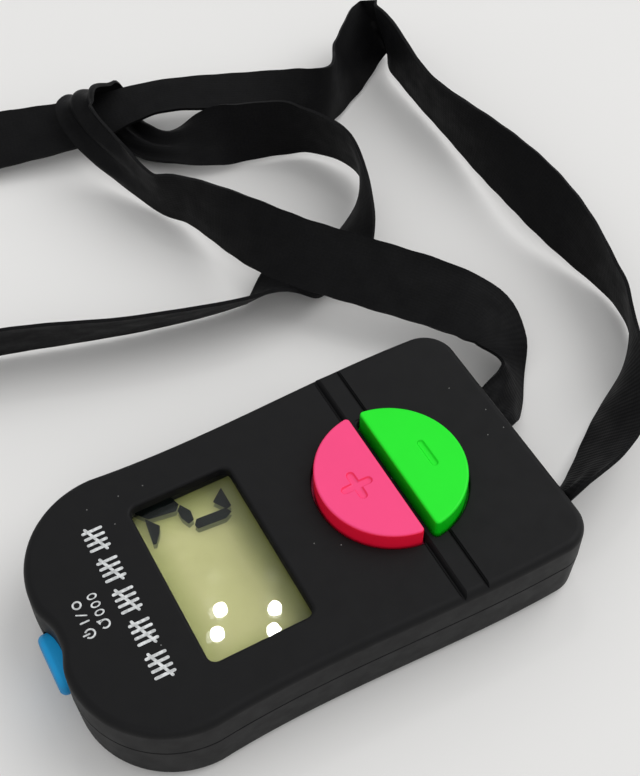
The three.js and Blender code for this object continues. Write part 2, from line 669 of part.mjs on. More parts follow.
function screw(size, [x, y]) {
  const head = disc(size.head, size.headBottom, size.headTop, x, y, 16);
  const shank = disc(size.shank, size.headTop - 0.2, size.tip, x, y, 10);
  const crossWidth = size.head * RECESS.width;
  const crossReach = size.head * RECESS.reach;
  const crossTop = size.headBottom + RECESS.depth;
  const cross = [
    block(x - crossReach, x + crossReach, y - crossWidth / 2, y + crossWidth / 2, 0, crossTop),
    block(x - crossWidth / 2, x + crossWidth / 2, y - crossReach, y + crossReach, 0, crossTop),
  ];
  return cut(join(head, shank), ...cross);
}

// ---- Lanyard ------------------------------------------------------------------------

const anchorPin = () => extrudeAlongX(circleYZ(PIN.radius), -PIN.halfLength, PIN.halfLength);

// End of the ribbon: a loop stitched round the pin, and a tongue out through the slot.
function strapEnd([x0, x1]) {
  const loop = extrudeAlongX(circleYZ(STRAP_LOOP.outer), x0, x1);
  const half = STRAP_LOOP.tongue / 2;
  const tongue = block(x0, x1, PIN.y, LANYARD_END_Y, PIN.z - half, PIN.z + half);
  return cut(join(loop, tongue), extrudeAlongX(circleYZ(STRAP_LOOP.inner), x0 - 1, x1 + 1));
}

function ribbon() {
  const widthAt = (along) => {
    const place = along * (RIBBON_ROUTE.length - 1);
    const stop = Math.min(Math.floor(place), RIBBON_ROUTE.length - 2);
    const [from, to] = [stop, stop + 1].map((i) => RIBBON_ROUTE[i].at(-1));
    return THREE.MathUtils.lerp(from, to, place - stop);
  };
  const centres = RIBBON_ROUTE.map(([x, y, z]) => new THREE.Vector3(x, y, z));
  const sides = RIBBON_ROUTE.map(([, , , compass, tilt]) => {
    const turn = THREE.MathUtils.degToRad(compass);
    const lean = THREE.MathUtils.degToRad(tilt);
    return new THREE.Vector3(
      Math.cos(lean) * Math.cos(turn),
      Math.cos(lean) * Math.sin(turn),
      Math.sin(lean),
    );
  });
  const path = new THREE.CatmullRomCurve3(centres);
  const directions = new THREE.CatmullRomCurve3(sides);
  const steps = RIBBON.steps;
  const rings = Array.from({ length: steps + 1 }, (_, i) => {
    const centre = path.getPoint(i / steps);
    const along = path.getTangent(i / steps);
    const side = directions.getPoint(i / steps);
    side.addScaledVector(along, -side.dot(along)).normalize();
    const face = new THREE.Vector3().crossVectors(along, side);
    side.multiplyScalar(widthAt(i / steps) / 2);
    face.multiplyScalar(RIBBON.thickness / 2);
    return [[-1, -1], [1, -1], [1, 1], [-1, 1]].map(([s, f]) =>
      centre.clone().addScaledVector(side, s).addScaledVector(face, f),
    );
  });
  return loft(rings, [[0, 1, 2], [0, 2, 3]]);
}

// ---- Scene graph --------------------------------------------------------------------

const BLACK = { color: 0x232425, roughness: 0.62, metalness: 0 };
const STEEL = { color: 0xc4c6c8, roughness: 0.3, metalness: 1 };
const COPPER_ALLOY = { color: 0xcbb27a, roughness: 0.3, metalness: 1 };
const SWITCH_BLACK = { color: 0x1b1c1e, roughness: 0.5, metalness: 0 };

const counter = new THREE.Group();

function place(name, solid, finish) {
  const mesh = new THREE.Mesh(toGeometry(solid), new THREE.MeshStandardMaterial(finish));
  mesh.name = name;
  counter.add(mesh);
}

place("front_shell", frontShell(), BLACK);
place("back_shell", backShell(), BLACK);

place("lcd_lens", slab(LENS), { color: 0xf2f6f4, roughness: 0.05, transparent: true, opacity: 0.3 });
place("lcd_front_glass", slab(FRONT_GLASS), { color: 0xd7ddb4, roughness: 0.08 });
place("lcd_rear_glass", slab(REAR_GLASS), { color: 0xcdd3a4, roughness: 0.08 });
place("lcd_reflector", slab(REFLECTOR), { color: 0xb9be78, roughness: 0.45 });
place("lcd_holder", displayHolder(), { color: 0x1d1e20, roughness: 0.7 });
place("zebra_strip", slab(ZEBRA), { color: 0xd8d8d2, roughness: 0.6 });

place("plus_button", countingButton(-1), { color: 0xff4f8c, roughness: 0.4 });
place("minus_button", countingButton(1), { color: 0x27ea2c, roughness: 0.4 });
place("reset_button", resetButton(), { color: 0x23a5dc, roughness: 0.42 });

place("circuit_board", circuitBoard(), { color: 0x1c6b3a, roughness: 0.45 });
place("chip_blob", chipBlob(), { color: 0x101012, roughness: 0.35 });
place("plus_switch", tactBody(PLUS_SWITCH_Y), SWITCH_BLACK);
place("minus_switch", tactBody(MINUS_SWITCH_Y), SWITCH_BLACK);
place("reset_switch", resetSwitch(), SWITCH_BLACK);
place("plus_switch_plunger", tactPlunger(PLUS_SWITCH_Y), STEEL);
place("minus_switch_plunger", tactPlunger(MINUS_SWITCH_Y), STEEL);
place("reset_switch_plunger", resetSwitchPlunger(), STEEL);
place("crystal_can", underBoard(CRYSTAL.x, CRYSTAL.y, CRYSTAL.bottom), STEEL);
place("capacitor", underBoard(CAPACITOR.x, CAPACITOR.y, CAPACITOR.bottom), {
  color: 0xb98b52,
  roughness: 0.5,
});
RESISTOR.lows.forEach((y, i) =>
  place(
    `resistor_${i + 1}`,
    underBoard(RESISTOR.x, [y, y + RESISTOR.width], RESISTOR.bottom),
    SWITCH_BLACK,
  ),
);

place("button_cell", buttonCell(), STEEL);
place("positive_contact", positiveContact(), COPPER_ALLOY);
place("negative_contact", negativeContact(), COPPER_ALLOY);
place("battery_cap", batteryCap(), BLACK);

CASE_SCREW_SPOTS.forEach((spot, i) => place(`case_screw_${i + 1}`, screw(CASE_SCREW, spot), STEEL));
BOARD_SCREW_SPOTS.forEach((spot, i) =>
  place(`board_screw_${i + 1}`, screw(BOARD_SCREW, spot), STEEL),
);

place("anchor_pin", anchorPin(), STEEL);
place("strap_end_left", strapEnd(STRAP_ENDS.left), { color: 0x101112, roughness: 0.85 });
place("strap_end_right", strapEnd(STRAP_ENDS.right), { color: 0x101112, roughness: 0.85 });
place("lanyard_ribbon", ribbon(), { color: 0x101112, roughness: 0.8 });

export default counter;
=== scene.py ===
import math

import bpy
from mathutils import Matrix, Vector, noise


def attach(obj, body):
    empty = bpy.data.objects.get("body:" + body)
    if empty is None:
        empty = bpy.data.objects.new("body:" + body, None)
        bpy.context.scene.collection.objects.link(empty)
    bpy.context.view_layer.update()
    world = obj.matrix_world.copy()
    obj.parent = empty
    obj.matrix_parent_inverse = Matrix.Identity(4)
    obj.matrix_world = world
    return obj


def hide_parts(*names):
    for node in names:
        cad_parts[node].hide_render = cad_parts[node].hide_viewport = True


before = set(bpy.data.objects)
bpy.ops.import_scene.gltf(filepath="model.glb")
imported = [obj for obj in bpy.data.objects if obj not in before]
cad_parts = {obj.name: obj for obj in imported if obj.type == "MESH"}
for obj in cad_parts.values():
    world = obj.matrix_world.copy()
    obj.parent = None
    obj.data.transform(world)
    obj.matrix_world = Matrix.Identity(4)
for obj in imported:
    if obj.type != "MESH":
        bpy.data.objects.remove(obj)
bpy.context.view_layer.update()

MM = 0.001
scene = bpy.context.scene
scene.view_settings.view_transform = "Standard"

# ---- Camera -------------------------------------------------------------------------

CAMERA_AT = Vector((0.08480, -0.04118, 0.16457))
CAMERA_RIGHT = Vector((0.47863, 0.87801, -0.00328))
CAMERA_DOWN = Vector((0.69234, -0.37971, -0.61358))
CAMERA_FORWARD = Vector((-0.53998, 0.29140, -0.78962))

FOCAL_LENGTH = 61.74
SENSOR_WIDTH = 36.0
NEAREST_SEEN = 0.005

camera = bpy.data.objects.new("camera", bpy.data.cameras.new("camera"))
camera.data.lens = FOCAL_LENGTH
camera.data.sensor_width = SENSOR_WIDTH
camera.data.clip_start = NEAREST_SEEN
camera.location = CAMERA_AT
turned = Matrix((CAMERA_RIGHT, -CAMERA_DOWN, -CAMERA_FORWARD)).transposed()
camera.rotation_euler = turned.to_euler()
scene.collection.objects.link(camera)
scene.camera = camera

# ---- Materials ----------------------------------------------------------------------


def srgb(red, green, blue):
    """Linear colour from display values of 0 to 255."""
    def linear(value):
        value /= 255
        return value / 12.92 if value <= 0.04045 else ((value + 0.055) / 1.055) ** 2.4
    return (linear(red), linear(green), linear(blue), 1.0)


class Finish:
    """A procedural material that is put together node by node."""

    def __init__(self, name, colour, roughness, **sockets):
        self.material = bpy.data.materials.new(name)
        self.material.use_nodes = True
        self.tree = self.material.node_tree
        self.shader = self.tree.nodes["Principled BSDF"]
        self.shader.inputs["Base Color"].default_value = colour
        self.shader.inputs["Roughness"].default_value = roughness
        for socket, value in sockets.items():
            self.shader.inputs[socket.replace("_", " ")].default_value = value
        self.colour = colour
        self.bumps = None

    def node(self, kind, inputs=None, **settings):
        """A shader node, with each input linked to a socket or set to a value."""
        made = self.tree.nodes.new("ShaderNode" + kind)
        for key, value in settings.items():
            setattr(made, key, value)
        for key, value in (inputs or {}).items():
            if isinstance(value, bpy.types.NodeSocket):
                self.tree.links.new(value, made.inputs[key])
            else:
                made.inputs[key].default_value = value
        return made

    def place(self, stretch=(1, 1, 1), source="Object"):
        spot = self.node("TexCoord").outputs[source]
        return self.node("Mapping", {"Vector": spot, "Scale": stretch}).outputs[0]

    def noise(self, scale, detail=3.0, rough=0.5, stretch=(1, 1, 1), source="Object"):
        return self.node("TexNoise", {
            "Vector": self.place(stretch, source), "Scale": scale, "Detail": detail,
            "Roughness": rough,
        }).outputs["Fac"]

    def ramp(self, value, low, high, start=0.0, end=1.0):
        return self.node("MapRange", {
            "Value": value, "From Min": low, "From Max": high, "To Min": start, "To Max": end,
        }).outputs["Result"]

    def math(self, operation, a, b=0.0):
        return self.node("Math", {0: a, 1: b}, operation=operation).outputs[0]

    def mix(self, amount, first, second):
        made = self.node("Mix", {0: amount, 6: first, 7: second}, data_type="RGBA")
        return made.outputs[2]

    def paint(self, socket):
        self.tree.links.new(socket, self.shader.inputs["Base Color"])

    def rough(self, socket):
        self.tree.links.new(socket, self.shader.inputs["Roughness"])

    def bump(self, height, distance, strength=1.0):
        """Adds a bump on top of the bumps that are there already."""
        inputs = {"Height": height, "Distance": distance, "Strength": strength}
        if self.bumps is not None:
            inputs["Normal"] = self.bumps
        self.bumps = self.node("Bump", inputs).outputs[0]
        self.tree.links.new(self.bumps, self.shader.inputs["Normal"])

    def mottle(self, scale, amount):
        """Colour that varies a little over the surface."""
        darker = tuple(c * (1 - amount) for c in self.colour[:3]) + (1.0,)
        lighter = tuple(min(1.0, c * (1 + amount)) for c in self.colour[:3]) + (1.0,)
        return self.mix(self.noise(scale), darker, lighter)


DUST_CELLS = 520.0
DUST_SIZE = 0.045
FACES_UP = 0.9


def black_plastic(name, dusty):
    """Fine matte moulding, with a few specks of dust on faces that look up."""
    made = Finish(name, srgb(15, 15, 16), 0.5, Specular_IOR_Level=0.17)
    base = made.mottle(40, 0.05)
    if dusty:
        cells = made.node("TexVoronoi", {"Vector": made.place(), "Scale": DUST_CELLS},
                          voronoi_dimensions="2D")
        speck = made.math("LESS_THAN", cells.outputs["Distance"], DUST_SIZE)
        chosen = made.node("SeparateColor", {0: cells.outputs["Color"]}).outputs[0]
        patchy = made.ramp(made.noise(55), 0.5, 0.75, 0.995, 0.86)
        shown = made.math("MULTIPLY", speck, made.math("GREATER_THAN", chosen, patchy))
        up = made.node("SeparateXYZ", {0: made.node("NewGeometry").outputs["Normal"]}).outputs[2]
        shown = made.math("MULTIPLY", shown, made.math("GREATER_THAN", up, FACES_UP))
        base = made.mix(shown, base, srgb(118, 118, 116))
    made.paint(base)
    made.rough(made.ramp(made.noise(420, 4.0), 0.3, 0.7, 0.5, 0.6))
    made.bump(made.noise(4600, 2.0), 0.000014, 0.5)
    return made.material


def button_plastic(name, top, side, roughness=0.36):
    """Satin plastic with painted shade: its upright walls are painted deeper in colour than its
    face.
    """
    made = Finish(name, top, roughness, Specular_IOR_Level=0.22, Coat_Weight=0.03,
                  Coat_Roughness=0.25)
    # Painted shade: upright walls take the deeper side colour, faces that look up take the top
    # colour.
    up = made.node("SeparateXYZ", {0: made.node("NewGeometry").outputs["Normal"]}).outputs[2]
    facing_for_painted_shade = made.ramp(up, 0.25, 0.95)
    tone_with_painted_shade = made.mix(facing_for_painted_shade, side, made.mottle(220, 0.035))
    made.paint(tone_with_painted_shade)
    made.rough(made.ramp(made.noise(500, 3.0), 0.3, 0.7, roughness - 0.05, roughness + 0.07))
    made.bump(made.noise(3600, 2.0), 0.000012, 0.5)
    return made.material

BRUSHING = (1, 40, 1)


def metal(name, colour, roughness):
    """Bright metal brushed along X."""
    made = Finish(name, colour, roughness, Metallic=1.0)
    made.paint(made.mottle(300, 0.08))
    brushed = made.noise(900, 4.0, 0.6, BRUSHING)
    made.rough(made.ramp(brushed, 0.3, 0.7, roughness - 0.08, roughness + 0.12))
    made.bump(brushed, 0.000008, 0.4)
    return made.material


def moulded(name, colour, roughness, grain=3000, distance=0.00001):
    made = Finish(name, colour, roughness)
    made.paint(made.mottle(260, 0.08))
    made.rough(made.ramp(made.noise(600, 3.0), 0.3, 0.7, roughness - 0.06, roughness + 0.08))
    made.bump(made.noise(grain, 2.0), distance, 0.6)
    return made.material


RIBS, THREADS = 420.0, 700.0
RIBS_FADE_OUT = (0.016, 0.024)
RIBS_FADE_IN = (0.664, 0.676)
RIBS_BETWEEN = 0.22


def woven(name, source):
    """Black satin ribbon: fine ribs, plainest near its ends, with painted shade in their
    hollows, and soft wide creases.
    """
    made = Finish(name, srgb(8, 8, 9), 0.6, Specular_IOR_Level=0.1, Sheen_Weight=0.02,
                  Sheen_Roughness=0.4)
    made.shader.inputs["Sheen Tint"].default_value = srgb(150, 150, 158)
    spot = made.place((1, 1, 1), source)
    ribs = made.node("TexWave", {
        "Vector": spot, "Scale": RIBS, "Distortion": 0.6, "Detail": 1.0, "Detail Scale": 3.0,
    }, bands_direction="X").outputs["Fac"]
    threads = made.node("TexWave", {
        "Vector": spot, "Scale": THREADS, "Distortion": 0.4, "Detail": 1.0,
    }, bands_direction="Y").outputs["Fac"]
    fuzz = made.noise(2600, 4.0, 0.7, (1, 1, 1), source)
    base = made.mix(made.ramp(fuzz, 0.35, 0.75), srgb(8, 8, 9), srgb(17, 17, 18))
    run = made.node("SeparateXYZ", {0: spot}).outputs[0]
    ends = made.math("MAXIMUM", made.ramp(run, *RIBS_FADE_OUT, 1.0, RIBS_BETWEEN),
                     made.ramp(run, *RIBS_FADE_IN, RIBS_BETWEEN, 1.0))
    ribs = made.math("MULTIPLY", ribs, ends)
    # Painted shade: the hollows between the ribs are painted darker, most near the ends.
    base = made.mix(made.math("MULTIPLY", made.math("SUBTRACT", ends, ribs), 0.5), base,
                    srgb(3, 3, 4))
    made.paint(base)
    made.rough(made.ramp(made.noise(300, 3.0, 0.5, (1, 1, 1), source), 0.3, 0.7, 0.54, 0.72))
    made.bump(ribs, 0.00006, 0.55)
    made.bump(threads, 0.00003, 0.35)
    made.bump(fuzz, 0.00004, 0.4)
    made.bump(made.noise(90, 2.0, 0.5, (1, 2.2, 1), source), 0.0006, 0.35)
    return made.material


CASE = black_plastic("case_black", True)
CASE_BACK = black_plastic("case_black_back", False)
# The second colour of each button is painted shade for its upright walls.
PINK = button_plastic("pink_plastic", srgb(248, 72, 130), srgb(252, 24, 60))
GREEN = button_plastic("green_plastic", srgb(26, 234, 38), srgb(10, 204, 24))
BLUE = button_plastic("blue_plastic", srgb(20, 158, 222), srgb(14, 128, 184), 0.5)
RIBBON_CLOTH = woven("ribbon_cloth", "UV")
STRAP_CLOTH = woven("strap_cloth", "Object")

# ---- Meshes from rings --------------------------------------------------------------


def add_solid(vertices, faces, rings):
    """Adds a closed solid from rings of points in millimetres, each with as many points."""
    start = len(vertices)
    count = len(rings[0])
    for ring in rings:
        vertices.extend((x * MM, y * MM, z * MM) for x, y, z in ring)
    for level in range(len(rings) - 1):
        low = start + level * count
        for i in range(count):
            j = (i + 1) % count
            faces.append((low + i, low + j, low + count + j, low + count + i))
    faces.append(tuple(reversed(range(start, start + count))))
    top = start + (len(rings) - 1) * count
    faces.append(tuple(range(top, top + count)))


def mesh_object(name, solids):
    vertices, faces = [], []
    for rings in solids:
        add_solid(vertices, faces, rings)
    mesh = bpy.data.meshes.new(name)
    mesh.from_pydata(vertices, [], faces)
    mesh.validate()
    made = bpy.data.objects.new(name, mesh)
    scene.collection.objects.link(made)
    return made


def carve(piece, solids, operation="DIFFERENCE"):
    """Cuts solids out of a piece, or joins them to it."""
    tool = mesh_object("tool", solids)
    step = piece.modifiers.new("carve", "BOOLEAN")
    step.operation = operation
    step.solver = "EXACT"
    step.object = tool
    graph = bpy.context.evaluated_depsgraph_get()
    carved = bpy.data.meshes.new_from_object(piece.evaluated_get(graph))
    piece.modifiers.remove(step)
    before, piece.data = piece.data, carved
    carved.name = piece.name
    bpy.data.meshes.remove(before)
    bpy.data.meshes.remove(tool.data)


def finish(piece, material, body, nodes=(), sharp=32.0, weighted=True):
    """Shading, material, and the body and nodes that a piece stands for."""
    mesh = piece.data
    mesh.materials.clear()
    mesh.materials.append(material)
    mesh.polygons.foreach_set("use_smooth", [True] * len(mesh.polygons))
    mesh.set_sharp_from_angle(angle=math.radians(sharp))
    if weighted:
        normals = piece.modifiers.new("normals", "WEIGHTED_NORMAL")
        normals.keep_sharp = True
    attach(piece, body)
    if nodes:
        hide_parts(*nodes)
    return piece


def arc(cx, cy, radius, start, end, steps):
    """Points of an arc, with both ends; the angles are in degrees."""
    return [
        (cx + radius * math.cos(math.radians(start + (end - start) * i / steps)),
         cy + radius * math.sin(math.radians(start + (end - start) * i / steps)))
        for i in range(steps + 1)
    ]


def bezier(p0, p1, p2, p3, steps):
    """Inner points of a cubic curve, without its ends."""
    points = []
    for i in range(1, steps):
        t = i / steps
        a, b, c, d = (1 - t) ** 3, 3 * t * (1 - t) ** 2, 3 * t * t * (1 - t), t ** 3
        points.append((a * p0[0] + b * p1[0] + c * p2[0] + d * p3[0],
                       a * p0[1] + b * p1[1] + c * p2[1] + d * p3[1]))
    return points


def flat(points, z):
    return [(x, y, z) for x, y in points]


def upright(points, y):
    """Outline in X and Z, set at a Y."""
    return [(x, y, z) for x, z in points]


def fillet(radius, steps):
    """Inset and rise of a rounded edge, from its wall to its face."""
    return [
        (radius * (1 - math.cos(math.pi / 2 * i / steps)),
         radius * math.sin(math.pi / 2 * i / steps))
        for i in range(steps + 1)
    ]


def circle(cx, cy, radius, steps=48):
    return arc(cx, cy, radius, 0, 360, steps)[:-1]


def cylinder(cx, cy, radius, z0, z1, steps=48):
    return [flat(circle(cx, cy, radius, steps), z) for z in (z0, z1)]


def rounded_box(half_width, low, high, corner, steps=8):
    return (arc(half_width - corner, low + corner, corner, -90, 0, steps)
            + arc(half_width - corner, high - corner, corner, 0, 90, steps)
            + arc(corner - half_width, high - corner, corner, 90, 180, steps)
            + arc(corner - half_width, low + corner, corner, 180, 270, steps))


def stadium(half_length, half_height, cx=0.0, cz=0.0, steps=20):
    straight = half_length - half_height
    return (arc(cx + straight, cz, half_height, -90, 90, steps)
            + arc(cx - straight, cz, half_height, 90, 270, steps))


# ---- Lanyard ribbon -----------------------------------------------------------------

RIBBON_THICKNESS = 0.46
RIBBON_STEP = 1.0
RIBBON_ACROSS = 16
ROUTE_STEPS = 4000
LOWEST = 0.03
GATHERED_LENGTH = 9.0
HITCH_TURNS = ((104.0, 20.0), (132.0, 16.0))  # distance along the ribbon, and reach
CUP, PLEAT, CREASE, RIPPLE = 0.1, 0.42, 0.75, 0.16
SELVEDGE_FROM, SELVEDGE_SWELL = 0.93, 1.25
PICOT_FROM, PICOT = 0.99, 0.05

# The ribbon's route, in metres: x, y, z, then the direction of its width as a compass
# angle and a tilt, in degrees, then how wide it is there.
RIBBON_ROUTE = [
    (-0.0072, 0.0364, 0.0066, 0, 0, 0.0072),
    (-0.0075, 0.0384, 0.0064, 0, -6, 0.0072),
    (-0.0121, 0.0447, 0.0042, 10, -54, 0.0078),
    (-0.0194, 0.0469, 0.0057, 47, -21, 0.0100),
    (-0.0241, 0.0460, 0.0070, 90, 5, 0.0108),
    (-0.0289, 0.0423, 0.0081, 111, 22, 0.0108),
    (-0.0367, 0.0341, 0.0100, 119, 34, 0.0108),
    (-0.0481, 0.0249, 0.0102, 131, 41, 0.0108),
    (-0.0686, 0.0162, 0.0072, 134, 92, 0.0108),
    (-0.0740, 0.0130, 0.0060, 138, 100, 0.0108),
    (-0.0925, 0.0080, 0.0098, 106, 66, 0.0088),
    (-0.0965, 0.0085, 0.0114, 78, 26, 0.0080),
    (-0.1025, 0.0140, 0.0070, 80, 0, 0.0080),
    (-0.1010, 0.0165, 0.0020, 90, -2, 0.0076),
    (-0.0970, 0.0165, 0.0014, 96, 0, 0.0072),
    (-0.0935, 0.0170, 0.0020, 106, 0, 0.0076),
    (-0.0885, 0.0198, 0.0026, 112, 4, 0.0080),
    (-0.0815, 0.0305, 0.0059, 98, 50, 0.0106),
    (-0.0755, 0.0419, 0.0069, 51, 114, 0.0108),
    (-0.0635, 0.0464, 0.0075, 79, 102, 0.0108),
    (-0.0486, 0.0352, 0.0034, 32, 23, 0.0108),
    (-0.0495, 0.0312, 0.0034, 48, -8, 0.0108),
    (-0.0488, 0.0286, 0.0022, 2, -6, 0.0108),
    (-0.0456, 0.0182, 0.0046, -48, 42, 0.0108),
    (-0.0486, -0.0005, 0.0056, -39, 58, 0.0108),
    (-0.0560, -0.0247, 0.0060, -19, 69, 0.0108),
    (-0.0595, -0.0440, 0.0036, -5, 26, 0.0108),
    (-0.0620, -0.0780, 0.0009, -6, 2, 0.0108),
    (-0.0660, -0.1060, 0.0009, -16, 2, 0.0108),
    (-0.0760, -0.1220, 0.0009, -60, 2, 0.0108),
    (-0.0900, -0.1230, 0.0009, -110, 2, 0.0108),
    (-0.0995, -0.1080, 0.0009, -162, 2, 0.0108),
    (-0.1020, -0.0760, 0.0009, -178, 2, 0.0108),
    (-0.1032, -0.0429, 0.0016, -178, 4, 0.0108),
    (-0.1020, -0.0120, 0.0046, -184, 24, 0.0108),
    (-0.0975, 0.0080, 0.0056, -188, 16, 0.0096),
    (-0.0960, 0.0235, 0.0066, -196, 4, 0.0080),
    (-0.0883, 0.0378, 0.0075, -220, 9, 0.0094),
    (-0.0805, 0.0489, 0.0075, -229, 60, 0.0108),
    (-0.0881, 0.0582, 0.0054, -173, 56, 0.0108),
    (-0.0954, 0.0686, 0.0062, -169, 44, 0.0108),
    (-0.0864, 0.0673, 0.0071, -244, 90, 0.0108),
    (-0.0727, 0.0666, 0.0067, -257, 96, 0.0108),
    (-0.0413, 0.0687, 0.0076, -264, 63, 0.0108),
    (-0.0187, 0.0689, 0.0061, -276, 101, 0.0108),
    (-0.0124, 0.0668, 0.0060, -302, 102, 0.0108),
    (0.0040, 0.0515, 0.0058, -330, 46, 0.0108),
    (0.0105, 0.0390, 0.0076, -352, 56, 0.0076),
    (0.0102, 0.0364, 0.0066, -360, 0, 0.0042),
]


def spline(points, along):
    """Centripetal curve through points; along runs from 0 to 1 over all of them."""
    place = min(along, 1.0) * (len(points) - 1)
    i = min(int(place), len(points) - 2)
    t = place - i
    p1, p2 = points[i], points[i + 1]
    p0 = points[i - 1] if i > 0 else 2 * p1 - p2
    p3 = points[i + 2] if i + 2 < len(points) else 2 * p2 - p1
    gaps = [max(math.sqrt((b - a).length), 1e-4) for a, b in ((p0, p1), (p1, p2), (p2, p3))]
    before = (p1 - p0) / gaps[0] - (p2 - p0) / (gaps[0] + gaps[1]) + (p2 - p1) / gaps[1]
    after = (p2 - p1) / gaps[1] - (p3 - p1) / (gaps[1] + gaps[2]) + (p3 - p2) / gaps[2]
    before *= gaps[1]
    after *= gaps[1]
    return (p1 + before * t + (3 * (p2 - p1) - 2 * before - after) * t * t
            + (2 * (p1 - p2) + before + after) * t ** 3)


def width_direction(compass, tilt):
    turn, lean = math.radians(compass), math.radians(tilt)
    return Vector((math.cos(lean) * math.cos(turn), math.cos(lean) * math.sin(turn),
                   math.sin(lean)))


def smooth_step(value):
    value = max(0.0, min(1.0, value))
    return value * value * (3 - 2 * value)


def near(value, middle, reach):
    """1 at the middle, falling smoothly to 0 at the reach."""
    return smooth_step(1 - abs(value - middle) / reach)


def build_ribbon():
    """The ribbon as one closed strip, cupped, pleated at its ends and crumpled in the hitch."""
    centres = [Vector(stop[:3]) / MM for stop in RIBBON_ROUTE]
    sides = [width_direction(*stop[3:5]) for stop in RIBBON_ROUTE]
    widths = [Vector((stop[5] / MM, 0, 0)) for stop in RIBBON_ROUTE]
    fine = [spline(centres, i / ROUTE_STEPS) for i in range(ROUTE_STEPS + 1)]
    run = [0.0]
    for a, b in zip(fine, fine[1:]):
        run.append(run[-1] + (b - a).length)
    total = run[-1]
    count = round(total / RIBBON_STEP)
    vertices, faces, spots, path = [], [], [], []
    at = 0
    for k in range(count + 1):
        distance = total * k / count
        while at < ROUTE_STEPS - 1 and run[at + 1] < distance:
            at += 1
        part = (distance - run[at]) / max(run[at + 1] - run[at], 1e-9)
        along = (at + part) / ROUTE_STEPS
        centre = spline(centres, along)
        ahead = spline(centres, min(along + 1e-4, 1.0))
        behind = spline(centres, max(along - 1e-4, 0.0))
        forward = (ahead - behind).normalized()
        side = spline(sides, along)
        side = (side - forward * side.dot(forward)).normalized()
        face = forward.cross(side)
        path.append(tuple(centre * MM))
        end = min(distance, total - distance)
        gather = near(end, 0.0, GATHERED_LENGTH)
        knot = max(near(distance, middle, reach) for middle, reach in HITCH_TURNS)
        half = spline(widths, along).x / 2
        ring = []
        for layer in (1, -1):
            for j in range(RIBBON_ACROSS + 1):
                v = (-1 + 2 * j / RIBBON_ACROSS) * layer
                cup = CUP * (1 - v * v)
                pleat = PLEAT * gather * math.sin(7.0 * v + 0.8)
                crease = knot * CREASE * math.sin(6.5 * v + 0.16 * distance + 0.6)
                ripple = RIPPLE * noise.noise(Vector((distance * 0.06, v * 1.1, 3.1)))
                selvedge = SELVEDGE_SWELL if abs(v) > SELVEDGE_FROM else 1.0
                lift = cup + pleat + crease + ripple
                picot = PICOT * math.sin(distance * 5.2) if abs(v) > PICOT_FROM else 0.0
                point = (centre + side * v * (half + picot)
                         + face * (lift + layer * RIBBON_THICKNESS / 2 * selvedge))
                point.z = max(point.z, LOWEST + 0.01 * (layer + 1))
                ring.append(point * MM)
                spots.append((distance * MM, v * half * MM))
        vertices.extend(ring)
    across = 2 * (RIBBON_ACROSS + 1)
    for k in range(count):
        for j in range(across):
            n = (j + 1) % across
            faces.append((k * across + j, k * across + n, (k + 1) * across + n,
                          (k + 1) * across + j))
    faces.append(tuple(reversed(range(across))))
    faces.append(tuple(range(count * across, (count + 1) * across)))
    mesh = bpy.data.meshes.new("lanyard")
    mesh.from_pydata(vertices, [], faces)
    layer = mesh.uv_layers.new(name="cloth")
    for loop in mesh.loops:
        layer.data[loop.index].uv = spots[loop.vertex_index]
    piece = bpy.data.objects.new("lanyard", mesh)
    scene.collection.objects.link(piece)
    finish(piece, RIBBON_CLOTH, "case", ["lanyard_ribbon"], sharp=70.0, weighted=False)


build_ribbon()

# ---- Case outline -------------------------------------------------------------------

BUTTON_END, LANYARD_END = -34.5, 35.5
BUTTON_HALF, LANYARD_HALF = 20.3, 20.6
BUTTON_CORNER, LANYARD_CORNER = 13.9, 4.8
CASE_TOP, PARTING = 13.4, 8.0
SIDE_LOW, SIDE_HIGH = (18.75, -3.5), (21.3, 13.6)
SCALLOP = 1.2
WALL = 1.6
TOP_EDGE, BACK_EDGE, EDGE_STEPS = 1.2, 1.8, 8
BACK_DRAFT = 0.3
BACK_TOP = 7.9
SEAM_CHAMFER = 0.12


def case_outline(inset):
    """Outline of the case seen from above, moved inwards."""
    low, high = BUTTON_END + inset, LANYARD_END - inset
    cx, cy = BUTTON_HALF - BUTTON_CORNER, BUTTON_END + BUTTON_CORNER
    hx, hy = LANYARD_HALF - LANYARD_CORNER, LANYARD_END - LANYARD_CORNER
    right = [(0.0, low + SCALLOP)]
    right += bezier((0.0, low + SCALLOP), (cx / 2, low + SCALLOP), (cx / 2, low), (cx, low), 14)
    right += arc(cx, cy, BUTTON_CORNER - inset, -90, 0, 26)
    right += bezier((BUTTON_HALF - inset, cy), (SIDE_LOW[0] - inset, SIDE_LOW[1]),
                    (SIDE_HIGH[0] - inset, SIDE_HIGH[1]), (LANYARD_HALF - inset, hy), 26)
    right += arc(hx, hy, LANYARD_CORNER - inset, 0, 90, 16)
    right += [(hx / 2, high)]
    left = [(-x, y) for x, y in reversed(right[1:])]
    return right + [(0.0, high)] + left


def case_solid(levels):
    return [flat(case_outline(inset), z) for inset, z in levels]


# ---- Openings that both shells share ------------------------------------------------

DISC_Y, DISC_RADIUS = 15.41, 10.53
PLUS_Y, MINUS_Y = 10.1, 21.2
BUTTON_TOP = 16.0
FLAT_FROM_MIDDLE = 0.85
FIT = 0.3
RESET_Z, RESET_HALF_LENGTH, RESET_HALF_HEIGHT = 6.4, 4.5, 2.3
CASE_SCREWS = [(-14.6, -24.2), (14.6, -24.2), (-15.2, 26.4), (15.2, 26.4)]
BOARD_SCREWS = [(-14.3, 1.6), (14.3, 1.6), (-14.3, 21.6), (14.3, 21.6)]
BATTERY_Y = -6.0
RESET_OPENING = (-31.4, -36.5)
SLOT_ENDS = ((-11.2, -3.2), (7.7, 12.7))
SLOT_DEPTH, SLOT_HEIGHT = (33.1, 36.5), (5.6, 8.05)


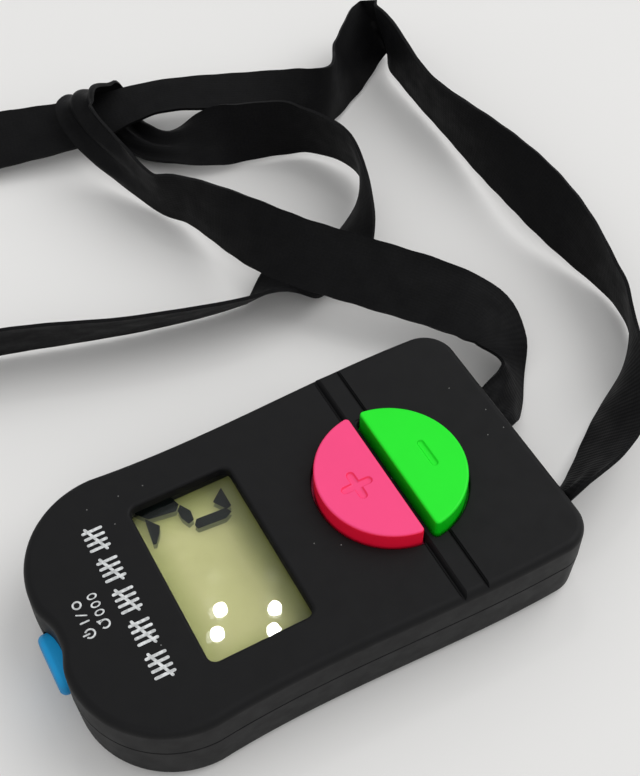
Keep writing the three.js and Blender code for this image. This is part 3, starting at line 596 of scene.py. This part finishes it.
def half_disc(radius, offset, side, corner, steps=40):
    """Half disc with rounded corners; side is +1 towards the lanyard."""
    reach = math.sqrt((radius - corner) ** 2 - (offset + corner) ** 2)
    lean = math.degrees(math.atan2(offset + corner, reach))
    points = arc(0, 0, radius, lean, 180 - lean, steps)
    points += arc(-reach, offset + corner, corner, 180 - lean, 270, 8)[1:]
    points += arc(reach, offset + corner, corner, -90, lean, 8)[:-1]
    if side < 0:
        points = [(-x, -y) for x, y in points]
    return [(x, y + DISC_Y) for x, y in points]


reset_hole = [
    upright(stadium(RESET_HALF_LENGTH + FIT, RESET_HALF_HEIGHT + FIT, 0, RESET_Z), y)
    for y in RESET_OPENING
]
strap_slots = [
    [flat([(x0, y0), (x1, y0), (x1, y1), (x0, y1)], z) for z in SLOT_HEIGHT]
    for x0, x1 in SLOT_ENDS for y0, y1 in [SLOT_DEPTH]
]

# ---- Front shell --------------------------------------------------------------------

CASE_BOSS, BOARD_POST, BOARD_TOP = 2.2, 1.7, 6.5
POST_TOP = CASE_TOP - 1.1

front = mesh_object("case_front", [case_solid(
    [(SEAM_CHAMFER, PARTING), (0.0, PARTING + SEAM_CHAMFER)]
    + [(inset, CASE_TOP - TOP_EDGE + rise) for inset, rise in fillet(TOP_EDGE, EDGE_STEPS)])])
carve(front, [case_solid([(WALL, PARTING - 1), (WALL, CASE_TOP - WALL)])])
front_posts = [cylinder(x, y, CASE_BOSS, PARTING, POST_TOP) for x, y in CASE_SCREWS]
front_posts += [cylinder(x, y, BOARD_POST, BOARD_TOP, POST_TOP) for x, y in BOARD_SCREWS]
carve(front, front_posts, "UNION")

# The rib follows the rounded edge of the case at both sides.
RIB_SIDES = (18.05, 14.9)
rib_right = [(19.35 + 1.2 * x, 12.2 + 1.36 * z) for x, z in arc(0, 0, 1, 0, 90, 10)]
rib_section = rib_right + [(-x, z) for x, z in reversed(rib_right)]
carve(front, [[upright(rib_section, y) for y in RIB_SIDES]], "UNION")

# Creases beside the rib: where each lies in Y, how wide it is, and its floor.
CREASES = ((14.66, 0.46, 12.8), (18.24, 0.3, 12.92))
CREASE_REACH = 22
carve(front, [
    [flat([(-CREASE_REACH, y - w), (CREASE_REACH, y - w), (CREASE_REACH, y + w),
           (-CREASE_REACH, y + w)], z)
     for w, z in ((wide * 0.15, floor_z), (wide * 0.45, floor_z + 0.22), (wide * 0.75, 13.2),
                  (wide, 13.38), (wide * 1.3, 13.48), (wide * 1.3, 14.4))]
    for y, wide, floor_z in CREASES
])

WINDOW_HALF, WINDOW_LOW, WINDOW_HIGH, WINDOW_CORNER = 12.88, -17.95, -3.2, 1.2
WINDOW_ROUND = 0.55
window_edge = [
    (WINDOW_ROUND - WINDOW_ROUND * math.cos(a),
     CASE_TOP - WINDOW_ROUND + WINDOW_ROUND * math.sin(a))
    for a in [math.pi / 12 * step for step in range(7)]
]
window_levels = [(0.0, 10.5)] + window_edge + [(0.6, CASE_TOP + 1)]
carve(front, [[
    flat(rounded_box(WINDOW_HALF + e, WINDOW_LOW - e, WINDOW_HIGH + e, WINDOW_CORNER + e), z)
    for e, z in window_levels
]])
carve(front, [[
    flat(half_disc(DISC_RADIUS + FIT + e, FLAT_FROM_MIDDLE - FIT - e, side, 0.8), z)
    for e, z in ((0.0, 10.0), (0.0, CASE_TOP - 0.25), (0.08, CASE_TOP - 0.08),
                 (0.25, CASE_TOP), (0.25, CASE_TOP + 1))
] for side in (1, -1)])
carve(front, [reset_hole] + strap_slots)
finish(front, CASE, "case", ["front_shell"])

# ---- Back shell ---------------------------------------------------------------------

BACK_WALL, ABOVE_BACK = 1.5, 9.0
CASE_POST, CASE_BORE = 2.4, 1.3
HEAD_BORE = ((2.45, -0.2), (2.35, 0.0), (2.1, 0.25), (2.1, 2.3))

back = mesh_object("case_back", [case_solid(
    [(BACK_DRAFT + inset, BACK_EDGE - rise)
     for inset, rise in reversed(fillet(BACK_EDGE, EDGE_STEPS))]
    + [(0.0, BACK_TOP - SEAM_CHAMFER), (SEAM_CHAMFER, BACK_TOP)])])
carve(back, [case_solid([(WALL + BACK_DRAFT, BACK_WALL), (WALL, ABOVE_BACK)])])
carve(back, [cylinder(x, y, CASE_POST, 1.0, BACK_TOP) for x, y in CASE_SCREWS], "UNION")
carve(back, [cylinder(x, y, CASE_BORE, 2.0, ABOVE_BACK) for x, y in CASE_SCREWS])
carve(back, [[flat(circle(x, y, radius), z) for radius, z in HEAD_BORE] for x, y in CASE_SCREWS])


def sector(radius, middle, half_angle, z0, z1):
    points = arc(0, BATTERY_Y, radius, middle - half_angle, middle + half_angle, 16)
    return [flat([(0.0, BATTERY_Y)] + points, z) for z in (z0, z1)]


BATTERY_HOLE, NOTCH_RADIUS, NOTCH_HALF_ANGLE = 8.25, 9.5, 24
carve(back, [cylinder(0, BATTERY_Y, BATTERY_HOLE, -1, 1.6, 96)])
for turn in (60, 240):
    carve(back, [sector(NOTCH_RADIUS, turn, NOTCH_HALF_ANGLE, -1, 1.6)])
carve(back, [reset_hole] + strap_slots)
finish(back, CASE_BACK, "case", ["back_shell"])

# ---- Battery cap and screws ---------------------------------------------------------

# Section of the cap, as radius and height, from its outer face round to inside its ring.
CAP_SECTION = ((7.7, 0.1), (7.9, 0.18), (8.0, 0.4), (8.0, 1.6), (7.5, 1.61), (7.5, 3.4),
               (6.1, 3.41), (6.1, 1.7))
COIN_SLOT_HALF_LENGTH, COIN_SLOT_HALF_WIDTH, COIN_SLOT_TOP = 5.5, 0.85, 0.8
LUG_OUTER, LUG_INNER, LUG_HALF_ANGLE, LUG_HEIGHT = 9.2, 6.8, 20, (1.8, 2.6)

cap = mesh_object("battery_door", [[
    flat(circle(0, BATTERY_Y, radius, 96), z) for radius, z in CAP_SECTION
]])
coin_slot = [(x, y + BATTERY_Y) for x, y in stadium(COIN_SLOT_HALF_LENGTH, COIN_SLOT_HALF_WIDTH)]
carve(cap, [[flat(coin_slot, z) for z in (-1, COIN_SLOT_TOP)]])
for turn in (0, 180):
    first, last = turn - LUG_HALF_ANGLE, turn + LUG_HALF_ANGLE
    lug = (arc(0, BATTERY_Y, LUG_OUTER, first, last, 14)
           + arc(0, BATTERY_Y, LUG_INNER, last, first, 14))
    carve(cap, [[flat(lug, z) for z in LUG_HEIGHT]], "UNION")
finish(cap, CASE_BACK, "cap", ["battery_cap"])

STEEL = metal("plated_steel", srgb(196, 198, 200), 0.28)


CASE_SCREW = {"head": 1.8, "head_low": 0.7, "head_high": 2.1, "shank": 1.0, "tip": 10.2}
BOARD_SCREW = {"head": 1.4, "head_low": 4.4, "head_high": 5.2, "shank": 0.7, "tip": 9.6}
THREAD_PITCH = 0.7


def screw(name, spot, node, head, head_low, head_high, shank, tip):
    """Pan-head screw with a cross recess, head downwards."""
    x, y = spot
    levels = [(head * 0.55, head_low), (head * 0.85, head_low + head * 0.1),
              (head, head_low + head * 0.32), (head, head_high), (shank, head_high + 0.01)]
    turns = int((tip - head_high) / THREAD_PITCH)
    for i in range(turns):
        z = head_high + 0.2 + i * (tip - head_high - 0.4) / turns
        levels += [(shank * 0.78, z), (shank, z + 0.22), (shank * 0.78, z + 0.42)]
    levels += [(shank * 0.3, tip)]
    piece = mesh_object(name, [[flat(circle(x, y, radius, 28), z) for radius, z in levels]])
    wide, long, top = head * 0.16, head * 0.62, head_low + 0.55
    for a, b in ((long, wide), (wide, long)):
        carve(piece, [[flat([(x - a * s, y - b * s), (x + a * s, y - b * s),
                             (x + a * s, y + b * s), (x - a * s, y + b * s)], z)
                       for s, z in ((1.0, head_low - 0.5), (0.82, top))]])
    finish(piece, STEEL, "case", [node])


for i, spot in enumerate(CASE_SCREWS):
    screw(f"back_screw_{i + 1}", spot, f"case_screw_{i + 1}", **CASE_SCREW)
for i, spot in enumerate(BOARD_SCREWS):
    screw(f"inner_screw_{i + 1}", spot, f"board_screw_{i + 1}", **BOARD_SCREW)

# ---- Counting buttons ---------------------------------------------------------------

BUTTON_EDGE = 0.36
BUTTON_CORNER_ROUND = 0.6
BUTTON_FLANGE = {"radius": 11.7, "offset": 0.4, "corner": 1.2}
FLANGE_HEIGHT = (10.6, 11.52)
GLYPH_FLOOR = BUTTON_TOP - 0.34
GLYPH_HALF_LENGTH, PLUS_HALF_WIDTH, MINUS_HALF_WIDTH = 2.3, 0.54, 0.46


def glyph_cutter(cy, half_width, along_y=False):
    """Groove with rounded ends and soft edges, for one stroke of a sunk sign."""
    rings = []
    for grow, z in ((-0.22, GLYPH_FLOOR), (-0.1, GLYPH_FLOOR + 0.05), (0.0, BUTTON_TOP - 0.14),
                    (0.06, BUTTON_TOP - 0.04), (0.14, BUTTON_TOP + 0.01),
                    (0.14, BUTTON_TOP + 0.6)):
        points = stadium(GLYPH_HALF_LENGTH + grow, half_width + grow, steps=8)
        if along_y:
            points = [(-y, x) for x, y in points]
        rings.append(flat([(x, y + cy) for x, y in points], z))
    return rings


def counting_button(name, side, material, body, node):
    """Half-disc button on its flange; side is +1 towards the lanyard."""
    levels = [(0.0, 11.5)] + [(inset, BUTTON_TOP - BUTTON_EDGE + rise)
                              for inset, rise in fillet(BUTTON_EDGE, 6)]
    piece = mesh_object(name, [[
        flat(half_disc(DISC_RADIUS - inset, FLAT_FROM_MIDDLE + inset, side,
                       BUTTON_CORNER_ROUND - inset), z)
        for inset, z in levels
    ]])
    flange = half_disc(side=side, **BUTTON_FLANGE)
    carve(piece, [[flat(flange, z) for z in FLANGE_HEIGHT]], "UNION")
    if side < 0:
        carve(piece, [glyph_cutter(PLUS_Y, PLUS_HALF_WIDTH)])
        carve(piece, [glyph_cutter(PLUS_Y, PLUS_HALF_WIDTH, along_y=True)])
    else:
        carve(piece, [glyph_cutter(MINUS_Y, MINUS_HALF_WIDTH)])
    finish(piece, material, body, [node], sharp=38.0)


counting_button("pink_button", -1, PINK, "plus", "plus_button")
counting_button("green_button", 1, GREEN, "minus", "minus_button")

# ---- Reset button -------------------------------------------------------------------

RESET_FACE_ROUND, RESET_ROUND_FROM = 0.9, -34.6
RESET_FLANGE_HALF_LENGTH, RESET_FLANGE_HALF_HEIGHT = 5.4, 3.2
RESET_FLANGE_Y = (-30.6, -31.4)
RESET_NUB = [(-1.4, 7.5), (1.4, 7.5), (1.4, 9.0), (-1.4, 9.0)]  # X and Z of its corners
RESET_NUB_Y = (-30.0, -31.0)

reset = mesh_object("blue_button", [[
    upright(stadium(RESET_HALF_LENGTH - inset, RESET_HALF_HEIGHT - inset, 0, RESET_Z, 28), y)
    for inset, y in [(0.0, -31.2)]
    + [(inset, RESET_ROUND_FROM - rise) for inset, rise in fillet(RESET_FACE_ROUND, 8)]
]])
flange = stadium(RESET_FLANGE_HALF_LENGTH, RESET_FLANGE_HALF_HEIGHT, 0, RESET_Z, 24)
carve(reset, [[upright(flange, y) for y in RESET_FLANGE_Y]], "UNION")
carve(reset, [[upright(RESET_NUB, y) for y in RESET_NUB_Y]], "UNION")
finish(reset, BLUE, "reset", ["reset_button"], sharp=40.0)

# ---- Display ------------------------------------------------------------------------


def clear(name, colour, ior, roughness):
    made = Finish(name, colour, roughness, Transmission_Weight=1.0, IOR=ior)
    made.rough(made.ramp(made.noise(90, 2.0), 0.3, 0.7, roughness, roughness + 0.004))
    return made.material


LENS_CLEAR = clear("lens_clear", (0.98, 0.99, 0.985, 1.0), 1.3, 0.0)
GLASS_CLEAR = clear("display_glass", (0.985, 0.99, 0.95, 1.0), 1.06, 0.02)


PANE_CORNER = 0.8


def pane(name, half_width, low, high, z0, z1, edge, material, node):
    """Clear plate with rounded edges, which throws no shadow."""
    levels = ([(edge - edge * math.cos(a), z0 + edge - edge * math.sin(a))
               for a in (math.pi / 2, math.pi / 4, 0.0)]
              + [(edge - edge * math.cos(a), z1 - edge + edge * math.sin(a))
                 for a in (0.0, math.pi / 4, math.pi / 2)])
    piece = mesh_object(name, [[
        flat(rounded_box(half_width - i, low + i, high - i, PANE_CORNER - i, 6), z)
        for i, z in levels
    ]])
    piece.visible_shadow = False
    finish(piece, material, "case", [node])


pane("window_lens", 14.6, -19.6, -1.6, 10.75, 11.7, 0.12, LENS_CLEAR, "lcd_lens")
pane("front_glass", 14.2, -19.2, -2.0, 9.55, 10.65, 0.06, GLASS_CLEAR, "lcd_front_glass")
pane("rear_glass", 14.2, -17.4, -2.0, 8.4, 9.45, 0.06, GLASS_CLEAR, "lcd_rear_glass")


def reflector_finish():
    """Satin foil with painted shade: darker and greener towards the edges of the display."""
    made = Finish("reflector_foil", srgb(205, 205, 140), 0.6, Specular_IOR_Level=0.2)
    spot = made.node("SeparateXYZ", {0: made.node("TexCoord").outputs["Object"]})
    across = made.math("ABSOLUTE", spot.outputs[0])
    side_edge_shade = made.ramp(across, 0.0085, 0.0132)
    low_edge_shade = made.ramp(spot.outputs[1], -0.0068, -0.0030)
    high_edge_shade = made.ramp(spot.outputs[1], -0.0140, -0.0182)
    edge = made.math("MAXIMUM", side_edge_shade, made.math("MAXIMUM", low_edge_shade, high_edge_shade))
    base = made.mix(made.noise(700, 4.0), srgb(184, 181, 133), srgb(192, 189, 141))
    # Painted shade: the foil is painted darker towards the walls of the window.
    made.paint(made.mix(made.math("MULTIPLY", edge, 0.8), base, srgb(150, 155, 88)))
    made.bump(made.noise(4200, 2.0), 0.00001, 0.4)
    return made.material


for node, material in {
    "lcd_reflector": reflector_finish(),
    "lcd_holder": moulded("holder_plastic", srgb(40, 41, 42), 0.6),
    "zebra_strip": moulded("layered_silicone", srgb(214, 212, 206), 0.6, 8000, 0.00003),
    "circuit_board": moulded("solder_mask", srgb(30, 108, 58), 0.4, 1200),
    "chip_blob": moulded("poured_resin", srgb(18, 18, 20), 0.28, 400),
    "plus_switch": moulded("switch_body", srgb(32, 32, 34), 0.5),
    "minus_switch": moulded("switch_body_2", srgb(32, 32, 34), 0.5),
    "reset_switch": moulded("switch_body_3", srgb(32, 32, 34), 0.5),
    "plus_switch_plunger": moulded("switch_plunger", srgb(58, 58, 60), 0.45),
    "minus_switch_plunger": moulded("switch_plunger_2", srgb(58, 58, 60), 0.45),
    "reset_switch_plunger": moulded("switch_plunger_3", srgb(58, 58, 60), 0.45),
    "crystal_can": metal("crystal_steel", srgb(200, 202, 204), 0.25),
    "capacitor": moulded("chip_ceramic", srgb(172, 132, 86), 0.5),
    "resistor_1": moulded("resistor_body", srgb(30, 30, 32), 0.45),
    "resistor_2": moulded("resistor_body_2", srgb(30, 30, 32), 0.45),
    "button_cell": metal("cell_steel", srgb(208, 208, 206), 0.24),
    "positive_contact": metal("contact_brass", srgb(214, 190, 130), 0.3),
    "negative_contact": metal("contact_brass_2", srgb(214, 190, 130), 0.3),
    "anchor_pin": metal("pin_steel", srgb(190, 192, 194), 0.3),
    "strap_end_left": STRAP_CLOTH,
    "strap_end_right": STRAP_CLOTH,
}.items():
    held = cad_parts[node]
    shape = held if hasattr(held, "data") else bpy.data.objects[node]
    shape.data.materials.clear()
    shape.data.materials.append(material)

# Digit: seven-segment outlines on the rear glass, and their soft shadows on the foil.
SEGMENTS_ON = {
    "top": [(-12.6, -16.0), (-8.3, -16.6), (-8.2, -16.2), (-9.6, -15.1), (-10.6, -14.6)],
    "upper": [(-14.2, -17.0), (-12.3, -15.6), (-11.7, -11.7), (-12.5, -10.9), (-14.2, -11.4)],
    "middle": [(-12.4, -10.8), (-11.6, -11.5), (-10.3, -11.5), (-9.0, -11.0), (-9.3, -10.1),
               (-10.8, -9.9)],
    "lower": [(-8.4, -10.4), (-9.2, -9.8), (-8.9, -5.5), (-8.0, -5.0), (-7.4, -6.1),
              (-7.7, -10.2)],
    "bottom": [(-12.2, -4.6), (-8.9, -4.6), (-8.7, -5.4), (-10.6, -6.6)],
}
SEGMENT_THICKNESS = 0.04
INK_Z, SHADE_Z = 9.48, 8.32


def segments(name, z, material):
    """The digit's segments as thin plates, each drawn anticlockwise."""
    solids = []
    for outline in SEGMENTS_ON.values():
        following = outline[1:] + outline[:1]
        turning = sum(a[0] * b[1] - b[0] * a[1] for a, b in zip(outline, following))
        points = outline if turning > 0 else outline[::-1]
        solids.append([flat(points, z), flat(points, z + SEGMENT_THICKNESS)])
    piece = mesh_object(name, solids)
    piece.visible_shadow = False
    finish(piece, material, "case", weighted=False)


ink = Finish("display_ink", srgb(5, 14, 13), 0.6, Specular_IOR_Level=0.1)
ink.paint(ink.mottle(900, 0.2))
segments("digit_segments", INK_Z, ink.material)
shade = Finish("display_shade", srgb(112, 116, 78), 0.6)
shade.paint(shade.mottle(900, 0.06))
segments("digit_shade", SHADE_Z, shade.material)

# ---- Printed marks ------------------------------------------------------------------

PRINT_LOW, PRINT_HIGH = CASE_TOP - 0.02, CASE_TOP + 0.03
MARK_WIDTH, RING_STEPS = 0.24, 30
GROUPS, UPRIGHTS, GROUP_PITCH, STROKE_PITCH = 5, 4, 5.15, 0.98
TALLY_WIDTH, SLASH_WIDTH, SLASH_LIFT = 0.44, 0.4, 0.00002
POWER_X, POWER_Y = 1.9, -29.5
RESET_MARK_X, RESET_MARK_Y = 1.5, -27.3


def printed_paint():
    """White print that is a little worn."""
    made = Finish("printed_ink", srgb(210, 212, 212), 0.55)
    worn = made.ramp(made.noise(1500, 4.0, 0.65), 0.42, 0.62)
    made.paint(made.mix(worn, srgb(180, 182, 182), srgb(226, 228, 228)))
    made.bump(made.noise(4000, 2.0), 0.00001, 0.4)
    return made.material


def stroke(x0, y0, x1, y1, width):
    """Printed line with round ends."""
    along = Vector((x1 - x0, y1 - y0)).normalized() * (width / 2)
    angle = math.degrees(math.atan2(along.y, along.x))
    points = (arc(x1, y1, width / 2, angle - 90, angle + 90, 8)
              + arc(x0, y0, width / 2, angle + 90, angle + 270, 8))
    return [flat(points, PRINT_LOW), flat(points, PRINT_HIGH)]


def ring_band(cx, radius, start, end, cy=POWER_Y, squeeze=1.0):
    """Printed part of a ring, squeezed in X for a zero."""
    outer = arc(0, 0, radius + MARK_WIDTH / 2, start, end, RING_STEPS)
    inner = arc(0, 0, radius - MARK_WIDTH / 2, end, start, RING_STEPS)
    points = [(cx + x * squeeze, cy + y) for x, y in outer + inner]
    return [flat(points, PRINT_LOW), flat(points, PRINT_HIGH)]


# Five groups of tally strokes.
marks = []
for group in range(GROUPS):
    right = 11.5 - group * GROUP_PITCH
    marks += [stroke(right - i * STROKE_PITCH, -22.25, right - i * STROKE_PITCH, -24.75,
                     TALLY_WIDTH)
              for i in range(UPRIGHTS)]
slashes = [stroke(12.0 - group * GROUP_PITCH, -22.7, 8.05 - group * GROUP_PITCH, -24.3,
                  SLASH_WIDTH)
           for group in range(GROUPS)]

# Power ring, then a line, a slash and a circle.
marks += [ring_band(POWER_X, 0.62, -55, 235),
          stroke(POWER_X, POWER_Y - 0.85, POWER_X, POWER_Y - 0.1, MARK_WIDTH)]
marks += [stroke(0.1, -28.95, 0.1, -30.05, MARK_WIDTH), stroke(-0.7, -28.9, -1.3, -30.1, 0.18),
          ring_band(-2.6, 0.52, 0, 358)]

# Turned arrow, then three zeros.
marks += [ring_band(RESET_MARK_X, 0.6, -50, 220, RESET_MARK_Y)]
tip = [(RESET_MARK_X - 0.78, RESET_MARK_Y - 0.9), (RESET_MARK_X - 0.1, RESET_MARK_Y - 0.62),
       (RESET_MARK_X - 0.72, RESET_MARK_Y - 0.12)]
marks += [[flat(tip, PRINT_LOW), flat(tip, PRINT_HIGH)]]
marks += [ring_band(x, 0.55, 2, 358, RESET_MARK_Y, 0.68) for x in (-0.3, -1.6, -2.9)]

labels = mesh_object("printed_marks", marks)
finish(labels, printed_paint(), "case", weighted=False)
crossings = mesh_object("printed_slashes", slashes)
crossings.location.z = SLASH_LIFT
finish(crossings, printed_paint(), "case", weighted=False)

# ---- Floor and light ----------------------------------------------------------------

floor_mesh = bpy.data.meshes.new("floor")
FLOOR_REACH = 4
floor_corners = [(x * FLOOR_REACH, y * FLOOR_REACH, 0)
                 for x, y in ((-1, -1), (1, -1), (1, 1), (-1, 1))]
floor_mesh.from_pydata(floor_corners, [], [(0, 1, 2, 3)])
floor = bpy.data.objects.new("floor", floor_mesh)
scene.collection.objects.link(floor)
floor_finish = Finish("floor_paper", srgb(232, 231, 229), 0.75, Specular_IOR_Level=0.2)
floor_finish.paint(floor_finish.mottle(30, 0.012))
floor_mesh.materials.append(floor_finish.material)

world = bpy.data.worlds.new("studio")
world.use_nodes = True
backdrop = world.node_tree.nodes["Background"]
backdrop.inputs["Color"].default_value = (0.985, 0.99, 1.0, 1.0)
backdrop.inputs["Strength"].default_value = 0.64
scene.world = world


def lamp(name, at, towards, size, watts):
    """Round area lamp that shines towards a point."""
    data = bpy.data.lights.new(name, "AREA")
    data.shape = "DISK"
    data.size = size
    data.energy = watts
    made = bpy.data.objects.new(name, data)
    made.location = at
    made.rotation_euler = (Vector(towards) - Vector(at)).to_track_quat("-Z", "Y").to_euler()
    scene.collection.objects.link(made)


OBJECT_MIDDLE = (-0.03, 0.01, 0.0)
lamp("softbox", (0.1, 1.5, 1.7), OBJECT_MIDDLE, 2.2, 22.0)
lamp("near_light", (1.3, -0.9, 1.9), OBJECT_MIDDLE, 1.6, 7.0)

# Four small ceiling lamps, placed by the spots where the window mirrors them.
LENS_TOP = 0.0117
MIRRORED = [(0.0060, -0.0135), (0.0089, -0.0153), (0.0093, -0.0072), (0.0120, -0.0087)]
LAMP_DISTANCE, LAMP_SIZE, LAMP_WATTS = 0.9, 0.0118, 0.045
for i, (x, y) in enumerate(MIRRORED):
    spot = Vector((x, y, LENS_TOP))
    ray = (spot - CAMERA_AT).normalized()
    at = spot + Vector((ray.x, ray.y, -ray.z)) * LAMP_DISTANCE
    lamp(f"ceiling_lamp_{i + 1}", at, spot, LAMP_SIZE, LAMP_WATTS)
